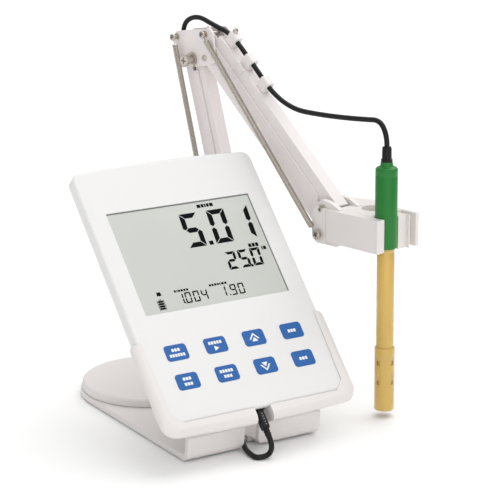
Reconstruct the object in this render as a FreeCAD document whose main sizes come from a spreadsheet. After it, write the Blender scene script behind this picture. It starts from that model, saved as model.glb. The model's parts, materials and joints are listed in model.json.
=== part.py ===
"""Bench meter: a tablet meter docked in a sloping cradle, with a parallel-arm electrode holder.

Row frame: millimetres, +Z up, origin on the table under the axis of the swivel disc.
The meter faces -Y, and the arm stands to its right, on +X.
"""

import FreeCAD, Part
import math
import os
import Sketcher

V = FreeCAD.Vector
doc = FreeCAD.newDocument("BenchMeter")
sheet = doc.addObject("Spreadsheet::Sheet", "Dims")

CELLS = (
    # meter
    ("meter_wide", 140), ("meter_low", 9.5), ("meter_top", 202), ("meter_thick", 12.5),
    ("front_thick", 4.5), ("rear_chamfer", 4.5), ("jack_depth", 6),
    ("meter_corner", 7), ("top_bow", 2.5), ("skin", 2), ("tilt", 47), ("rest_y", -155.64), ("rest_z", 25.83),
    ("lcd_wide", 110.8), ("lcd_low", 87.6), ("lcd_high", 78.4),
    ("key_pitch_u", 29.6), ("key_pitch_v", 21.15), ("key_wide", 16.5), ("key_high", 11.5),
    ("key_row", 37.2), ("key_deep", 0.5),
    # cradle
    ("tray_half", 74.2), ("tray_low", -0.3), ("tray_top", 69.5), ("tray_bow", 2.4),
    ("tray_floor", 16), ("lip", 1), ("tray_corner", 10), ("notch_half", 6), ("notch_top", 9.8),
    ("ribbon_half", 51), ("plate_low", 1), ("plate_thick", 4), ("plate_front", 127),
    ("wall_thick", 3.6), ("rest_high", 118), ("slot_left", -8), ("slot_right", 3),
    ("foot_high", 1), ("disc_radius", 49.8), ("disc_low", 5.3), ("disc_thick", 5.7),
    ("post_x", 83.4), ("post_y", -5.1), ("outrigger_radius", 28),
    # arm
    ("heading", -78), ("probe_x", 110.2), ("probe_y", -131.3),
    ("outer_half", 6.7), ("inner_half", 5.2), ("sheet_thick", 1.2),
    ("plate_in", 7), ("plate_out", 9), ("pin_play", 0.08),
    ("upper_length", 161.258), ("upper_angle", 41.594), ("lower_length", 203.5),
    ("lower_angle", 106.471), ("spring_radius", 2.15),
    # probe and cable
    ("cap_radius", 7.6), ("body_radius", 6), ("sleeve_radius", 6.9), ("cable_radius", 1.8),
)
DIM = {}
for row, (name, value) in enumerate(CELLS, start=1):
    sheet.set("A%d" % row, name)
    sheet.set("B%d" % row, str(value))
    sheet.setAlias("B%d" % row, name)
    DIM[name] = value
doc.recompute()

NODES = {}


def ex(value):
    """A number or a formula as an expression; d. stands for the sheet."""
    return str(value).replace("d.", "Dims.")


def role_plane(body, role):
    """One of a body's own origin planes."""
    return [f for f in body.Origin.OriginFeatures if f.Role == role][0]


def sketch(body, plane, loops, start):
    """A fully constrained sketch. A loop is a list of corners, or ("c", x, y, radius)."""
    sk = body.newObject("Sketcher::SketchObject", body.Name + "_sketch")
    sk.AttachmentSupport = [(role_plane(body, plane), "")]
    sk.MapMode = "FlatFace"
    sk.setExpression("AttachmentOffset.Base.z", ex(start))
    for loop in loops:
        first = sk.GeometryCount
        if loop[0] == "c":
            sk.addGeometry(Part.Circle(V(5, 5, 0), V(0, 0, 1), 3), False)
            for kind, text in (("DistanceX", loop[1]), ("DistanceY", loop[2])):
                k = sk.addConstraint(Sketcher.Constraint(kind, first, 3, 5.0))
                sk.setExpression("Constraints[%d]" % k, ex(text))
            k = sk.addConstraint(Sketcher.Constraint("Radius", first, 3.0))
            sk.setExpression("Constraints[%d]" % k, ex(loop[3]))
            continue
        count = len(loop)
        ring = [V(50 * math.cos(2 * math.pi * i / count), 50 * math.sin(2 * math.pi * i / count), 0)
                for i in range(count)]
        for i in range(count):
            sk.addGeometry(Part.LineSegment(ring[i], ring[(i + 1) % count]), False)
        for i in range(count):
            sk.addConstraint(Sketcher.Constraint("Coincident", first + i, 2,
                                                 first + (i + 1) % count, 1))
        for i, corner in enumerate(loop):
            for kind, text, now in (("DistanceX", corner[0], ring[i].x),
                                    ("DistanceY", corner[1], ring[i].y)):
                k = sk.addConstraint(Sketcher.Constraint(kind, first + i, 1, now))
                sk.setExpression("Constraints[%d]" % k, ex(text))
    return sk


def body(name, place=None, hidden=False):
    """An empty body in its frame; hidden ones are tools, not nodes."""
    made = doc.addObject("PartDesign::Body", name)
    made.Label = name
    if place is not None:
        made.Placement = place
    if not hidden:
        NODES[name] = made
    return made


def pad(made, plane, loops, start, length):
    """Adds a prism from start, along the plane's normal."""
    feature = made.newObject("PartDesign::Pad", made.Name + "_pad")
    feature.Profile = sketch(made, plane, loops, start)
    feature.setExpression("Length", ex(length))
    return feature


def cut(made, plane, loops, start, length):
    """Cuts a prism from start, along the plane's normal."""
    feature = made.newObject("PartDesign::Pocket", made.Name + "_cut")
    feature.Profile = sketch(made, plane, loops, start)
    feature.Reversed = True
    feature.setExpression("Length", ex(length))
    return feature


def soften(made, test, radius, chamfer=False):
    """Rounds the tip's edges that pass the test."""
    doc.recompute()
    tip = made.Tip
    names = ["Edge%d" % (i + 1) for i, e in enumerate(tip.Shape.Edges) if test(e)]
    kind = "PartDesign::Chamfer" if chamfer else "PartDesign::Fillet"
    feature = made.newObject(kind, made.Name + "_edge")
    feature.Base = (tip, names)
    feature.setExpression("Size" if chamfer else "Radius", ex(radius))
    return feature


def along(axis, where=None):
    """A test for straight edges along an axis whose centre passes where."""
    def test(edge):
        ends = [v.Point for v in edge.Vertexes]
        if len(ends) != 2 or edge.Curve.TypeId != "Part::GeomLine":
            return False
        if abs((ends[1] - ends[0]).normalize().dot(axis)) < 0.999:
            return False
        return where is None or where(edge.BoundBox.Center)
    return test


X, Y, Z = V(1, 0, 0), V(0, 1, 0), V(0, 0, 1)


def rect(x0, y0, x1, y1):
    """A rectangle's corners."""
    return [(x0, y0), (x1, y0), (x1, y1), (x0, y1)]


def primitive(kind, name, place, **sizes):
    """A Part primitive bound to the sheet."""
    made = doc.addObject("Part::" + kind, name)
    made.Placement = place
    for key, text in sizes.items():
        made.setExpression(key, ex(text))
    return made


def group(name, members):
    """Identical or related loose pieces as one node."""
    made = doc.addObject("Part::Compound", name)
    made.Label = name
    made.Links = members
    NODES[name] = made
    return made


def at(frame, x, y, z, turn=None):
    """A placement inside a frame."""
    return frame.multiply(FreeCAD.Placement(V(x, y, z), turn or FreeCAD.Rotation()))


WORLD = FreeCAD.Placement()
METER = FreeCAD.Placement(V(0, DIM["rest_y"], DIM["rest_z"]), FreeCAD.Rotation(X, DIM["tilt"]))
ARM = FreeCAD.Placement(V(DIM["probe_x"], DIM["probe_y"], 0), FreeCAD.Rotation(Z, DIM["heading"]))
TO_NEAR = FreeCAD.Rotation(X, 90)

# ---- meter --------------------------------------------------------------------------------
HALF = "d.meter_wide/2"
# the top edge bows up towards the middle, in short straight steps
SLATE = [("-" + HALF, "d.meter_low"), (HALF, "d.meter_low")] + [
    ("%g*%s" % (k / 6.0, HALF), "d.meter_top-d.top_bow*%g" % ((k / 6.0) ** 2))
    for k in range(6, -7, -1)]


def corner(c):
    """True for the four outer corners of the slate."""
    return abs(c.x) > 0.49 * DIM["meter_wide"]


JACK_WAY = rect(-5.2, "d.meter_low-1", 5.2, "d.meter_low+5.2")

front = body("meter_front_shell", METER)
pad(front, "XY_Plane", [SLATE], "-d.front_thick", "d.front_thick")
soften(front, along(Z, corner), "d.meter_corner")
soften(front, lambda e: abs(e.BoundBox.ZMin) < 0.01 and e.BoundBox.ZLength < 0.01, "2")
cut(front, "XY_Plane", [rect("-%s+5" % HALF, "d.meter_low+5", "%s-5" % HALF, "d.meter_top-5")],
    "-d.front_thick", "d.front_thick-d.skin")
cut(front, "XY_Plane", [JACK_WAY], "-d.front_thick", "1.4")
cut(front, "XY_Plane", [rect("-d.lcd_wide/2", "d.lcd_low", "d.lcd_wide/2",
                             "d.lcd_low+d.lcd_high")], "-d.skin", "d.skin")
KEYS = [(column, line) for line in (0, 1) for column in (-1.5, -0.5, 0.5, 1.5)]
key_loops = []
for column, line in KEYS:
    u = "%g*d.key_pitch_u" % column
    v = "d.key_row+%d*d.key_pitch_v" % line
    key_loops.append(rect(u + "-d.key_wide/2", v + "-d.key_high/2",
                          u + "+d.key_wide/2", v + "+d.key_high/2"))
cut(front, "XY_Plane", key_loops, "-d.key_deep", "d.key_deep")

rear = body("meter_rear_shell", METER)
pad(rear, "XY_Plane", [SLATE], "-d.meter_thick", "d.meter_thick-d.front_thick")
soften(rear, along(Z, corner), "d.meter_corner")
soften(rear, lambda e: e.BoundBox.ZMax < 0.01 - DIM["meter_thick"], "d.rear_chamfer", chamfer=True)
cut(rear, "XY_Plane", [rect("-%s+5" % HALF, "d.meter_low+5", "%s-5" % HALF, "d.meter_top-5")],
    "-d.meter_thick+1.8", "d.meter_thick-d.front_thick-1.8")
cut(rear, "XY_Plane", [JACK_WAY], "-8.9", "4.4")
cut(rear, "XY_Plane", [rect(-27, "d.meter_top-5.5", -13, "d.meter_top+1"),
                       rect(2, "d.meter_top-5.5", 11, "d.meter_top+1"),
                       rect(22.2, "d.meter_top-5.5", 31.8, "d.meter_top+1")], -10.3, 5.3)

window = body("lcd_window", METER)
pad(window, "XY_Plane", [rect("-d.lcd_wide/2", "d.lcd_low", "d.lcd_wide/2",
                              "d.lcd_low+d.lcd_high")], "-d.skin", "1.2")
module = body("lcd_module", METER)
pad(module, "XY_Plane", [rect("-d.lcd_wide/2-4", "d.lcd_low-4", "d.lcd_wide/2+4",
                              "d.lcd_low+d.lcd_high+4")], "-5.8", "3.8")
inlays = []
for i, (column, line) in enumerate(KEYS):
    inlay = primitive("Box", "key_inlay_%d" % i, WORLD, Length="d.key_wide", Width="d.key_high",
                      Height="d.key_deep")
    inlay.Placement = at(METER, column * DIM["key_pitch_u"] - DIM["key_wide"] / 2,
                         DIM["key_row"] + line * DIM["key_pitch_v"] - DIM["key_high"] / 2,
                         -DIM["key_deep"])
    inlays.append(inlay)
group("key_inlays", inlays)
keypad = body("touch_key_sheet", METER)
pad(keypad, "XY_Plane", [rect(-60, 30, 60, 68)], "-d.skin-0.8", "0.8")
board = body("main_circuit_board", METER)
pad(board, "XY_Plane", [rect(-61, 16, 61, 189)], -7.4, 1.6)
cut(board, "XY_Plane", [rect(-5.4, 15, 5.4, 30)], -8, 3)
cells = body("battery_pack", METER)
pad(cells, "XY_Plane", [rect(-30, 70, 30, 140)], -10.6, 3.2)
socket = body("probe_jack_socket", METER)
pad(socket, "XZ_Plane", [rect(-5, "-d.jack_depth-2.7", 5, "-d.jack_depth+2.7")], -29, 18.6)
cut(socket, "XZ_Plane", [("c", 0, "-d.jack_depth", 1.85)], -28, 18)
group("meter_ports", [
    primitive("Box", "usb_a_port", at(METER, -26.5, DIM["meter_top"] - 12, -10),
              Length=13, Width=11, Height=4.6),
    primitive("Box", "micro_usb_port", at(METER, 2.5, DIM["meter_top"] - 9, -9.4),
              Length=8, Width=8, Height=2.8),
])
button = body("power_button", METER)
pad(button, "XY_Plane", [rect(22.5, "d.meter_top-5.4", 31.5, "d.meter_top+0.7")], -10, 4.7)
screws = []
for i, (u, v) in enumerate(((-62, 20), (62, 20), (-62, 190), (62, 190))):
    screws.append(primitive("Cylinder", "case_screw_%d" % i, at(METER, u, v, -12.2),
                            Radius=1.4, Height=4))
contacts = []
for i, u in enumerate((-12, -4, 4, 12)):
    contacts.append(primitive("Cylinder", "contact_%d" % i, at(METER, u, 40, -12.6),
                              Radius=1.2, Height=1.8))

# ---- cradle -------------------------------------------------------------------------------
TRAY_RINGS = (("-d.tray_floor", 6.6, 4.3), (-3.6, 0, 0), (-1.6, 0.5, 0.4), (-0.1, 1.9, 1.7),
              (0.8, 4, 3.6), ("d.lip", 5, 4.7))
CORNER_STEPS = 6


def tray_side(inset, rise):
    """Right half of the tray's outline, from the middle of its bowed lower edge to its top."""
    half = "d.tray_half-%g" % inset
    low = "d.tray_low+%g" % rise
    points = [("0", low), ("0.4*(%s)" % half, "%s+0.16*d.tray_bow" % low)]
    for k in range(CORNER_STEPS + 1):
        angle = math.pi / 2 * k / CORNER_STEPS
        lift = (1 - 0.13 * (1 - math.sin(angle))) ** 2
        points.append(("%s-d.tray_corner*%g" % (half, 1 - math.sin(angle)),
                       "%s+d.tray_corner*%g+d.tray_bow*%g" % (low, 1 - math.cos(angle), lift)))
    return points + [(half, "d.tray_top-3"), ("%s-0.9" % half, "d.tray_top-0.9"),
                     ("%s-3" % half, "d.tray_top")]


def tray_ring(inset, rise):
    """The whole outline: the right half and its mirror image."""
    right = tray_side(inset, rise)
    return right + [("-(%s)" % x, y) for x, y in reversed(right[1:])]


tray = body("meter_tray", METER)
rings = [sketch(tray, "XY_Plane", [tray_ring(inset, rise)], n) for n, inset, rise in TRAY_RINGS]
shell = tray.newObject("PartDesign::AdditiveLoft", "meter_tray_loft")
shell.Profile = rings[0]
shell.Sections = rings[1:]
shell.Ruled = True
cut(tray, "XY_Plane", [[(-65.3, 17), (-58.5, 9.6), (58.5, 9.6), (65.3, 17), (66.6, "d.tray_top+1"),
                        (-66.6, "d.tray_top+1")]], "-0.2", "d.lip+1")
cut(tray, "XY_Plane", [rect("-d.notch_half", "d.tray_low-1", "d.notch_half", "d.notch_top")],
    "-d.tray_floor-1", "d.tray_floor+d.lip+2")
# the hollow that the meter lies in has the meter's own outline with a little room
hollow = body("tray_hollow", METER, hidden=True)
pad(hollow, "XY_Plane", [rect("-%s-0.2" % HALF, "d.meter_low-0.2", HALF + "+0.2",
                              "d.tray_top+12")], "-d.meter_thick-0.1", "d.meter_thick+0.2")
soften(hollow, along(Z, lambda c: c.y < 20), "d.meter_corner+0.2")
soften(hollow, lambda e: e.BoundBox.ZMax < -DIM["meter_thick"], "d.rear_chamfer", chamfer=True)

ribbon = body("cradle_base")
RH = "d.ribbon_half"


def yz(v, n):
    """A point of the meter's side profile, as Y and Z formulas."""
    return ("d.rest_y+(%s)*cos(d.tilt)-(%s)*sin(d.tilt)" % (v, n),
            "d.rest_z+(%s)*sin(d.tilt)+(%s)*cos(d.tilt)" % (v, n))


pad(ribbon, "XY_Plane", [[("-" + RH, "-d.plate_front"), (RH, "-d.plate_front"), (RH, 0),
                          ("-" + RH, 0)]], "d.plate_low", "d.plate_thick")
pad(ribbon, "XY_Plane", [("c", 0, 0, RH)], "d.plate_low", "d.plate_thick")
side = [(-139, "d.plate_low"), yz(3.9, "-d.tray_floor"), yz("d.rest_high", "-d.tray_floor"),
        yz("d.rest_high", "-d.tray_floor-d.wall_thick"), yz(5.6, "-d.tray_floor-d.wall_thick"),
        (-135.9, "d.plate_low+d.plate_thick"), ("-d.plate_front", "d.plate_low+d.plate_thick"),
        ("-d.plate_front", "d.plate_low")]
pad(ribbon, "YZ_Plane", [side], "-" + RH, "2*" + RH)
soften(ribbon, along(X, lambda c: c.z < 1.2 and c.y < -133), "6.5")
soften(ribbon, along(X, lambda c: 4.8 < c.z < 5.2 and c.y < -133), "3.4")
cut(ribbon, "XY_Plane", [rect("d.slot_left", -150, "d.slot_right", -127)], -1, 21)
cut(ribbon, "XY_Plane", [("c", "(d.slot_left+d.slot_right)/2", "-d.plate_front+1", 5)], 0, 6)
cut(ribbon, "XZ_Plane", [[("d.slot_left-2.2", 0.5), ("d.slot_right+4.5", 0.5),
                          ("d.slot_right", 6), ("d.slot_left", 6)]], "d.plate_front", 23)
cut(ribbon, "XY_Plane", [("c", 0, 0, 5.1)], 0, 6)

group("tray_screws", [
    primitive("Cylinder", "tray_screw_%d" % i,
              at(METER, u, v, -DIM["tray_floor"] - DIM["wall_thick"] - 1.6),
              Radius=3, Height=1.6)
    for i, (u, v) in enumerate(((-36, 24), (36, 24), (-36, 58), (36, 58)))
])
pad_body = body("rest_pad")
pad(pad_body, "XY_Plane", [("c", 0, 0, 20), ("c", 0, 0, 8)], 0, "d.foot_high")
group("rubber_feet", [
    primitive("Cylinder", "foot_%d" % i, at(WORLD, x, y, 0), Radius=5, Height="d.foot_high")
    for i, (x, y) in enumerate(((-43, -119), (43, -119), (-40, -20), (40, -20)))
])
ballast = body("ballast_plate")
pad(ballast, "XY_Plane", [rect(-26, -104, -4, -58)], "d.plate_low+d.plate_thick", 4)
inlet = body("power_inlet", METER)
pad(inlet, "XY_Plane", [rect(-9, 92, 9, 106)], "-d.tray_floor-d.wall_thick-9", 9)
cut(inlet, "XZ_Plane", [("c", 0, "-d.tray_floor-d.wall_thick-4.5", 3)], -107, 10)

# ---- swivel ---------------------------------------------------------------------------------
swivel = body("swivel_plate")
DT = "d.disc_thick"
pad(swivel, "XY_Plane", [("c", 0, 0, "d.disc_radius")], "d.disc_low", DT)
pad(swivel, "XY_Plane", [[(10, 48), (10, -48.6), (84, -32), (84, 22.5)]], "d.disc_low", DT)
pad(swivel, "XY_Plane", [("c", "d.post_x", "d.post_y", "d.outrigger_radius")], "d.disc_low", DT)
soften(swivel, lambda e: e.BoundBox.ZMin > 10.9, "2.2")
cut(swivel, "XY_Plane", [("c", "d.post_x", "d.post_y", 7)], 4, 8)
pin = body("swivel_pin")
pad(pin, "XY_Plane", [("c", 0, 0, 5)], 1, 4.3)
pad(pin, "XY_Plane", [("c", 0, 0, 7.5)], 0.2, 0.8)
outrigger = body("outrigger_foot")
pad(outrigger, "XY_Plane", [("c", "d.post_x+4", "d.post_y", 18)], "d.foot_high", "4.3")
pad(outrigger, "XY_Plane", [("c", "d.post_x+4", "d.post_y", 15)], 0, "d.foot_high")
bush = body("post_bush")
pad(bush, "XY_Plane", [("c", "d.post_x", "d.post_y", 7), ("c", "d.post_x", "d.post_y", 5.06)],
    "d.disc_low", DT)

# ---- arm post and shoulder ------------------------------------------------------------------
S5 = (-132.8, 31.35)
S2 = (-125.2, 32.65)
P5 = (-190.5, 226.5)
P2 = (-182.9, 227.8)
P4 = (-170.2, 230.2)
P3 = (-169.2, 247.45)
H1 = (-48.6, 140.4)
H2 = (-49.6, 123.15)
POST_S = -129.0

shoulder = body("shoulder_bracket", ARM)
pad(shoulder, "XY_Plane", [("c", POST_S, 0, 5)], "d.disc_low+0.2", 8)
pad(shoulder, "XY_Plane", [("c", POST_S, 0, 16)], "d.disc_low+d.disc_thick+0.2", 3.4)
pad(shoulder, "XY_Plane", [rect(POST_S - 12, "-d.plate_out", POST_S + 12, "d.plate_out")],
    "d.disc_low+d.disc_thick+3", 4.5)
cheek = [(POST_S - 12, 15), (POST_S + 12, 15), (-117, 34), (-120, 40), (-128, 44), (-147, 46),
         (-149, 40)]
pad(shoulder, "XZ_Plane", [cheek], "d.plate_in", "d.plate_out-d.plate_in")
pad(shoulder, "XZ_Plane", [cheek], "-d.plate_out", "d.plate_out-d.plate_in")
for hole in (S5, S2):
    cut(shoulder, "XZ_Plane", [("c", hole[0], hole[1], 1.5)], -12, 24)


def pin_at(name, point, radius, start, length):
    """A pin across the arm: start and length towards the near side."""
    return primitive("Cylinder", name, at(ARM, point[0], -start, point[1], TO_NEAR),
                     Radius=radius, Height=length)


def bar(name, origin, angle, half, wall_low, wall_high, web_low, reach, holes, notch):
    """A folded channel lying along +X of its own frame, side walls in XZ, pivots on Z = 0."""
    frame = at(ARM, origin[0], 0, origin[1], FreeCAD.Rotation(Y, -angle))
    made = body(name, frame)
    wall = "d.sheet_thick"
    low, high = -5, reach
    pad(made, "XZ_Plane", [rect(low, wall_low, high, wall_high)], half + "-" + wall, wall)
    web = (wall_low, "%s+%s" % (wall_low, wall)) if web_low else (
        "%s-%s" % (wall_high, wall), wall_high)
    pad(made, "XZ_Plane", [rect(low + 5, web[0], "%s-5" % high, web[1])], "-" + half, "2*" + half)
    pad(made, "XZ_Plane", [rect(low, wall_low, high, wall_high)], "-" + half, wall)
    for trim in notch:
        cut(made, "XZ_Plane", [trim], -10, 20)
    for x in holes:
        cut(made, "XZ_Plane", [("c", x, 0, 1.5 + DIM["pin_play"])], -10, 20)
    return made


LL, UL = "d.lower_length", "d.upper_length"
rear_bar = bar("lower_arm_rear_channel", S5, DIM["lower_angle"], "d.outer_half", -7.5, 3.5, False,
               "%s+5" % LL, (0, LL), [rect(-6, -9, 9, -3), rect(LL + "-9", -9, LL + "+6", -3)])
front_bar = bar("lower_arm_front_channel", S2, DIM["lower_angle"], "d.inner_half", -5.1, 5.9, True,
                "%s+5" % LL, (0, LL), [rect(-6, 2.6, 9, 7), rect(LL + "-9", 2.6, LL + "+6", 7)])
low_bar = bar("upper_arm_lower_channel", P4, -DIM["upper_angle"], "d.outer_half", -4.5, 12.5, True,
              "%s+5" % UL, (0, UL), [[(UL + "-23", 13), (UL + "-15", 4), (UL + "+6", 4),
                                      (UL + "+6", 13)], rect(-6, 4, -1, 13)])
top_bar = bar("upper_arm_upper_channel", P3, -DIM["upper_angle"], "d.inner_half", -3.7, 7.05,
              False, "%s+5" % UL, (0, UL), [rect(-6, 3.6, 8.5, 8)])

group("shoulder_pins", [pin_at("shoulder_pin_a", S5, 1.5, -10, 20),
                        pin_at("shoulder_pin_b", S2, 1.5, -10, 20)])
hook_low = pin_at("spring_post_low", (-144, 42), 1.8, 9, 7)
group("shoulder_spring_post", [hook_low])

REAR_POST = (-199.5, 242.4)
elbow_shape = [(-198.9, 219.8), (-159.1, 226.5), (-161.6, 252.8), (-203.3, 246.2)]
for side_name, start in (("near", "d.plate_in"), ("far", "-d.plate_out")):
    plate = body("elbow_plate_" + side_name, ARM)
    pad(plate, "XZ_Plane", [elbow_shape], start, "d.plate_out-d.plate_in")
    soften(plate, along(Y), "5")
    cut(plate, "XZ_Plane", [("c", p[0], p[1], 1.5) for p in (P5, P2, P4, P3)], -12, 24)
    if side_name == "near":
        cut(plate, "XZ_Plane", [("c", REAR_POST[0], REAR_POST[1], 1.2)], -12, 24)
group("elbow_pins", [pin_at("elbow_pin_%d" % i, p, 1.5, -9.6, 19.2)
                     for i, p in enumerate((P5, P2, P4, P3))])
group("elbow_spring_posts", [
    pin_at("post_rear_shank", REAR_POST, 1.2, 7, 2.6),
    pin_at("post_rear", REAR_POST, 2.4, 9.6, 5),
    pin_at("post_front", P3, 2.4, 9.6, 3.2),
])
knob = body("elbow_knob", ARM)
pad(knob, "XZ_Plane", [("c", P2[0], P2[1], 5)], 9.6, 2)
pad(knob, "XZ_Plane", [("c", P2[0], P2[1], 3.9)], 11.6, 6.6)
soften(knob, lambda e: e.BoundBox.YMax < -18.1, "0.8", chamfer=True)

# ---- clips on the upper arm -----------------------------------------------------------------
TOP = at(ARM, P3[0], 0, P3[1], FreeCAD.Rotation(Y, DIM["upper_angle"]))
WEB_TOP = 7.05
clips = []
for i, x in enumerate((16.6, 37.9, 59.3)):
    clip = doc.addObject("Part::Cut", "clip_%d" % i)
    clip.Base = primitive("Box", "clip_block_%d" % i, at(TOP, x - 3, -2.9, WEB_TOP), Length=6,
                          Width=7.1, Height=9.2)
    clip.Tool = primitive("Box", "clip_way_%d" % i, at(TOP, x - 4, -2.2, WEB_TOP + 3), Length=8,
                          Width=4.4, Height=5.5)
    clips.append(clip)
group("cable_clips", clips)

# ---- holder -----------------------------------------------------------------------------------
holder = body("electrode_holder", ARM)
pad(holder, "XY_Plane", [[(-43, -13.9), (4.8, -13.9), (4.8, 14.5), (7.5, 14.5), (7.5, 24.5),
                          (-12, 24.5), (-39, 30), (-65, 21), (-65, 11), (-58, 7.1), (-39.3, 7.1),
                          (-39.3, -7.1), (-43, -7.1)]], 138.5, 3)
pad(holder, "XY_Plane", [[(-43, -13.9), (4.8, -13.9), (4.8, 14.5), (7.5, 14.5), (7.5, 24.5),
                          (-12, 24.5), (-12, -11.2), (-37, -11.2), (-37, -7.1), (-43, -7.1)]],
    118.5, 20.5)
pad(holder, "XY_Plane", [[(-65, 21), (-39, 30), (-12, 24.5), (-12, 22), (-39, 27.2),
                          (-62.5, 19.2), (-62.5, 11), (-65, 11)]], 128, 11)
ear = [(-58, 119), (-52, 115.6), (-36, 115.6), (-33, 117.5), (-33, 142), (-42, 145.8),
       (-50, 146.8), (-57, 142.5)]
pad(holder, "XZ_Plane", [ear], 7.1, 3.9)
pad(holder, "XZ_Plane", [ear], -11, 3.9)
pad(holder, "XY_Plane", [rect(-37, -11, -33.5, 11)], 119, 20)
cut(holder, "XY_Plane", [("c", 0, 0, 8.06)], 117, 26)
cut(holder, "XY_Plane", [rect(0, -6.85, 6, 6.85)], 117, 26)
cut(holder, "XY_Plane", [rect(-6, 15.5, 9, 21.5)], 117, 26)
cut(holder, "XY_Plane", [("c", -22.5, 12, 8.5)], 137, 6)
for hole in (H1, H2):
    cut(holder, "XZ_Plane", [("c", hole[0], hole[1], 1.5)], -12, 24)
group("holder_pivot_screws", [
    pin_at("holder_pin_a", H1, 1.5, -11.4, 22.8), pin_at("holder_pin_b", H2, 1.5, -11.4, 22.8),
    pin_at("holder_head_a", H1, 2.8, 11.4, 1.8), pin_at("holder_head_b", H2, 3.6, 15.6, 1.6),
    pin_at("holder_neck_b", H2, 1.5, 11.4, 4.2),
])
group("holder_top_screw", [
    primitive("Cylinder", "top_screw", at(ARM, -57, 15, 141.5), Radius=3, Height=1.4)])

# ---- probe ------------------------------------------------------------------------------------
cap = body("probe_cap", ARM)
pad(cap, "XY_Plane", [("c", 0, 0, "d.cap_radius")], 120, 55.5)
pad(cap, "XY_Plane", [("c", 0, 0, 5.6)], 175.5, 4)
cut(cap, "XY_Plane", [("c", 0, 0, "d.body_radius")], 119, 9)
tube = body("probe_tube", ARM)
pad(tube, "XY_Plane", [("c", 0, 0, "d.body_radius"), ("c", 0, 0, 4.5)], 14, 114)
sleeve = body("probe_sleeve", ARM)
pad(sleeve, "XY_Plane", [("c", 0, 0, "d.sleeve_radius"), ("c", 0, 0, 6)], 5, 45)
cut(sleeve, "XZ_Plane", [("c", 0, 24, 1.6), ("c", 0, 40, 1.6)], -10, 20)
stem = body("probe_stem", ARM)
pad(stem, "XY_Plane", [("c", 0, 0, 3)], 12, 60)
rings = []
for i, z in enumerate((18, 26, 34, 42)):
    ring = doc.addObject("Part::Cut", "ring_%d" % i)
    ring.Base = primitive("Cylinder", "ring_out_%d" % i, at(ARM, 0, 0, z), Radius=4.2, Height=2.4)
    ring.Tool = primitive("Cylinder", "ring_in_%d" % i, at(ARM, 0, 0, z), Radius=3, Height=2.4)
    rings.append(ring)
group("probe_rings", rings)
relief = doc.addObject("Part::Cone", "probe_strain_relief")
relief.Label = "probe_strain_relief"
relief.Placement = at(ARM, 0, 0, 179.5)
relief.setExpression("Radius1", "4.8")
relief.setExpression("Radius2", "2.7")
relief.setExpression("Height", "10.5")
NODES["probe_strain_relief"] = relief

# ---- plug -------------------------------------------------------------------------------------
plug = body("cable_plug", METER)
pad(plug, "XZ_Plane", [("c", 0, "-d.jack_depth", 1.75)], -23, 15)
pad(plug, "XZ_Plane", [rect(-2.6, "-d.jack_depth-3", 2.6, "-d.jack_depth+3")], "-d.meter_low+0.2",
    "d.meter_low+4.1")
plug_relief = doc.addObject("Part::Cone", "plug_strain_relief")
plug_relief.Label = "plug_strain_relief"
plug_relief.Placement = at(METER, 0, -4.3, -DIM["jack_depth"], TO_NEAR)
plug_relief.setExpression("Radius1", "2.2")
plug_relief.setExpression("Radius2", "2")
plug_relief.setExpression("Height", "5.5")
NODES["plug_strain_relief"] = plug_relief

# ---- springs ----------------------------------------------------------------------------------


def spring(name, start, end, gap):
    """A plain sleeve along a coil spring, held back from both hooks."""
    a = V(start[0], -start[2], start[1])
    b = V(end[0], -end[2], end[1])
    line = (b - a).normalize()
    turn = FreeCAD.Rotation(Z, line)
    made = primitive("Cylinder", name, ARM.multiply(FreeCAD.Placement(a + line * gap, turn)),
                     Radius="d.spring_radius", Height=(b - a).Length - 2 * gap)
    made.Label = name
    NODES[name] = made


# each end is a point of the arm's plane and its distance to the near side
spring("lower_arm_spring", (*REAR_POST, 12.6), (-144, 42, 13.3), 8)
spring("upper_arm_spring", (*P3, 11.5), (-51.5, 123.6, 13.3), 9)

# ---- cable ------------------------------------------------------------------------------------
# One route from the probe to the plug: straight runs joined by tangent arcs. A name closes a span
# halfway along the run before it.


def arm_point(s, z, far=0.0):
    """A point of the arm's own plane, in the row frame."""
    return ARM.multVec(V(s, far, z))


tail = METER.multVec(V(0, -9.8, -DIM["jack_depth"]))
ROUTE = [
    arm_point(0, 190), arm_point(0, 197), arm_point(-6.4, 206.8), arm_point(-20, 205.3),
    "cable_probe_loop", arm_point(-42, 203.6), arm_point(-66, 202.6), arm_point(-88, 202.8),
    "cable_droop_span", arm_point(-109, 211), arm_point(-130.2, 230.7), arm_point(-151.5, 249),
    "cable_upper_span", arm_point(-169, 253), arm_point(-187.5, 258.6), arm_point(-203, 251.5),
    arm_point(-201.6, 235), "cable_elbow_span", arm_point(-196.8, 224.8), arm_point(-182.6, 180),
    arm_point(-167.2, 124), arm_point(-152.9, 78), "cable_lower_span", arm_point(-147.5, 44),
    arm_point(-149, 27), arm_point(-158, 14.6), V(62, 30, 13.2), "cable_foot_span",
    V(38, 24, 13), V(20, 5, 13), "cable_disc_span", V(12, -22, 13.1), V(10, -52, 13.6),
    V(13, -67, 7.6), V(9, -92, 6.9), V(2, -110, 6.9), V(-3, -123, 7.2),
    V(-5, -132.5, 5), V(-8.2, -141, 2.6), V(-9.4, -150, 1.9), V(-9.6, -157, 1.9),
    V(-4.2, -158.6, 1.9), V(0.8, -158.2, 3.2), tail + (tail - METER.multVec(V(0, -4.3, -6))),
    tail,
]


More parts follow.
